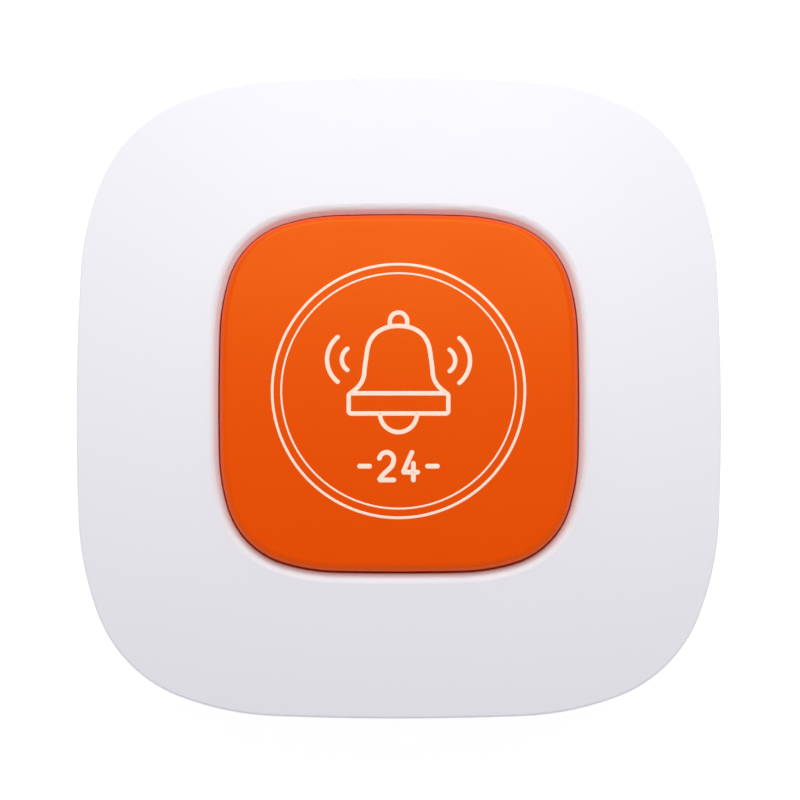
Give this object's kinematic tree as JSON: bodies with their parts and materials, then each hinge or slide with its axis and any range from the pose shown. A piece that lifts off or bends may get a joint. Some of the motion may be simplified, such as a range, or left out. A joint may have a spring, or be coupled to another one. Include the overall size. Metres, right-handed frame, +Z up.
{
  "type": "wireless table call button",
  "caption": "Low square-round wireless call button: a domed two-shell case, one large press button, a sealed switch inside and a coin cell behind a quarter-turn door.",
  "frame": {"origin": "centre of the footprint, on the plane of the feet", "axes": "+Z up through the button, +Y towards the top of the bell print, +X to the right of it"},
  "size_m": [0.065, 0.065, 0.0193],
  "materials": {
    "cover_plastic": "satin white moulded plastic",
    "base_plastic": "fine textured white moulded plastic",
    "button_plastic": "satin orange moulded plastic",
    "silicone": "pale translucent silicone",
    "board_laminate": "green solder mask",
    "black_moulding": "black moulded plastic",
    "sheet_steel": "tinned sheet steel",
    "ceramic": "tan ceramic",
    "contact_bronze": "spring bronze",
    "cell_steel": "plain steel can",
    "seal_rubber": "dark grey rubber",
    "screw_steel": "zinc plated steel"
  },
  "bodies": {
    "housing": {"top_cover": "cover_plastic", "bottom_case": "base_plastic", "housing_gasket": "silicone", "seal_boot": "silicone", "circuit_board": "board_laminate", "switch_base": "black_moulding", "switch_plate": "sheet_steel", "switch_dome": "sheet_steel", "switch_legs": "sheet_steel", "transmitter_chip": "black_moulding", "transmitter_leads": "sheet_steel", "crystal": "sheet_steel", "transistor": "black_moulding", "chip_capacitors": "ceramic", "chip_resistors": "black_moulding", "antenna_coil": "contact_bronze", "battery_cell": "cell_steel", "battery_contact_positive": "contact_bronze", "battery_contact_negative": "contact_bronze", "case_screws": "screw_steel", "rubber_feet": "seal_rubber"},
    "button": {"button_cap": "button_plastic"},
    "plunger": {"switch_plunger": "black_moulding"},
    "door": {"battery_door": "base_plastic", "battery_door_seal": "seal_rubber"}
  },
  "joints": [
    {"name": "button_press", "type": "slide", "parent": "housing", "child": "button", "axis": [0, 0, -1], "range_m": [0, 0.0006], "stiffness_N_per_m": 3000, "springref_m": -0.0002, "deforming": ["seal_boot"]},
    {"name": "plunger_press", "type": "slide", "parent": "housing", "child": "plunger", "axis": [0, 0, -1], "range_m": [0, 0.00025], "deforming": ["switch_dome"]},
    {"name": "door_turn", "type": "hinge", "parent": "housing", "child": "door", "pos_m": [0, 0, 0.0027], "axis": [0, 0, -1], "range_deg": [0, 40]}
  ],
  "couplings": [
    {"joint": "plunger_press", "follows": "button_press", "ratio": 0.41667}
  ]
}
